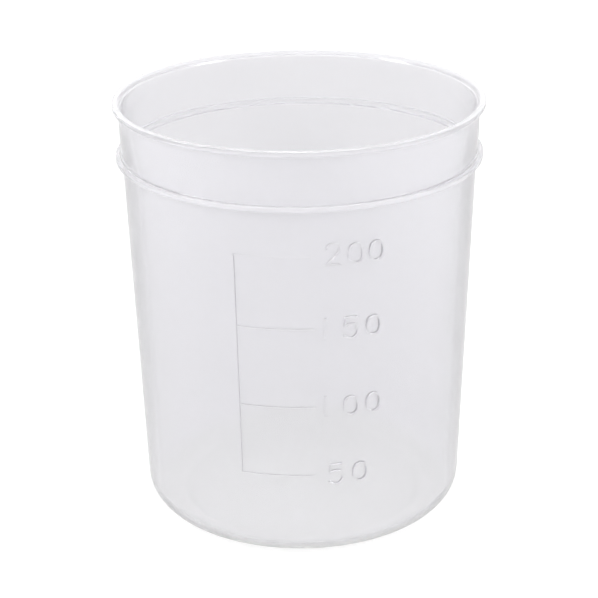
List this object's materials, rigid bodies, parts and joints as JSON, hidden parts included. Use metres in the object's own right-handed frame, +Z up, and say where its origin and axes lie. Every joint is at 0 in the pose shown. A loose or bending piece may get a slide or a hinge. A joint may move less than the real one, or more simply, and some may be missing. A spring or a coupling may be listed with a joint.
{
  "type": "specimen cup",
  "caption": "Round tapered cup of translucent plastic, open at the top, with a flanged lip, a collar and raised graduations, for collecting and measuring a liquid sample.",
  "frame": {"origin": "centre of the underside, on the plane that the cup stands on", "axes": "+Z up along the cup's axis to the mouth; the graduations face -Y, with their upright to the -X side"},
  "size_m": [0.072, 0.072, 0.0837],
  "materials": {
    "natural_polypropylene": "natural, undyed polypropylene as moulded: milky and see-through, with a smooth satin surface"
  },
  "bodies": {
    "root": {"specimen_cup": "natural_polypropylene"}
  },
  "joints": []
}
